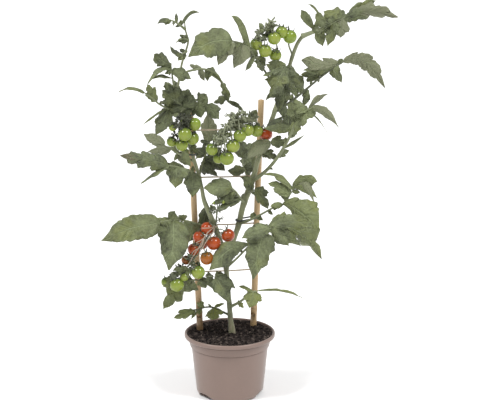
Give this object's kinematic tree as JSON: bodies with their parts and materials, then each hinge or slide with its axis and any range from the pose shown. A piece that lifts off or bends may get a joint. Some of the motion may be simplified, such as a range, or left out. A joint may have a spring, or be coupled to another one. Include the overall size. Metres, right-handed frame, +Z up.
{
  "type": "potted cherry tomato plant",
  "caption": "Cherry tomato plant with lobed leaves and trusses of small fruit, tied to a bamboo ladder in a round nursery pot.",
  "frame": {"origin": "middle of the pot's flat base", "axes": "+Z up along the pot, -Y to the front of the plant, +X to the right of it"},
  "size_m": [0.4261, 0.2346, 0.6035],
  "materials": {
    "pot_plastic": "satin",
    "peat": "matte",
    "bamboo": "satin",
    "rung_wood": "matte",
    "stem_green": "satin",
    "leaf_green": "satin",
    "fruit_green": "gloss",
    "fruit_red": "gloss",
    "fruit_orange": "gloss",
    "tie_rubber": "matte"
  },
  "bodies": {
    "root": {"pot": "pot_plastic", "soil": "peat", "cane_left": "bamboo", "cane_right": "bamboo", "rung_1": "rung_wood", "rung_2": "rung_wood", "rung_3": "rung_wood", "rung_4": "rung_wood", "stem": "stem_green", "tie_left_high": "tie_rubber", "tie_left_low": "tie_rubber", "tie_right": "tie_rubber", "leaf_arch": "leaf_green", "leaf_center_back": "leaf_green", "leaf_center_front": "leaf_green", "leaf_center_low": "leaf_green", "leaf_inner_left": "leaf_green", "leaf_inner_right": "leaf_green", "leaf_left_back": "leaf_green", "leaf_left_core": "leaf_green", "leaf_left_high": "leaf_green", "leaf_left_low": "leaf_green", "leaf_left_mid": "leaf_green", "leaf_left_top": "leaf_green", "leaf_low_front": "leaf_green", "leaf_low_right": "leaf_green", "leaf_lowest": "leaf_green", "leaf_mid_top": "leaf_green", "leaf_rear_left": "leaf_green", "leaf_rear_low": "leaf_green", "leaf_rear_right": "leaf_green", "leaf_right_back": "leaf_green", "leaf_right_fold": "leaf_green", "leaf_right_high": "leaf_green", "leaf_right_low": "leaf_green", "leaf_right_mid": "leaf_green", "leaf_shade": "leaf_green", "leaf_tip_high": "leaf_green", "leaf_tip_low": "leaf_green", "leaf_tip_mid": "leaf_green", "leaf_top_right": "leaf_green", "leaf_upper_core": "leaf_green", "leaf_upper_left": "leaf_green", "truss_center": "fruit_green", "truss_center_ripe_1": "fruit_red", "truss_left": "fruit_green", "truss_low": "fruit_green", "truss_low_ripe_1": "fruit_red", "truss_low_ripe_2": "fruit_red", "truss_low_ripe_3": "fruit_red", "truss_low_ripe_4": "fruit_red", "truss_low_ripe_5": "fruit_red", "truss_low_ripe_6": "fruit_orange", "truss_low_ripe_7": "fruit_orange", "truss_low_ripe_8": "fruit_red", "truss_upper": "fruit_green", "truss_young": "fruit_green"}
  },
  "joints": []
}
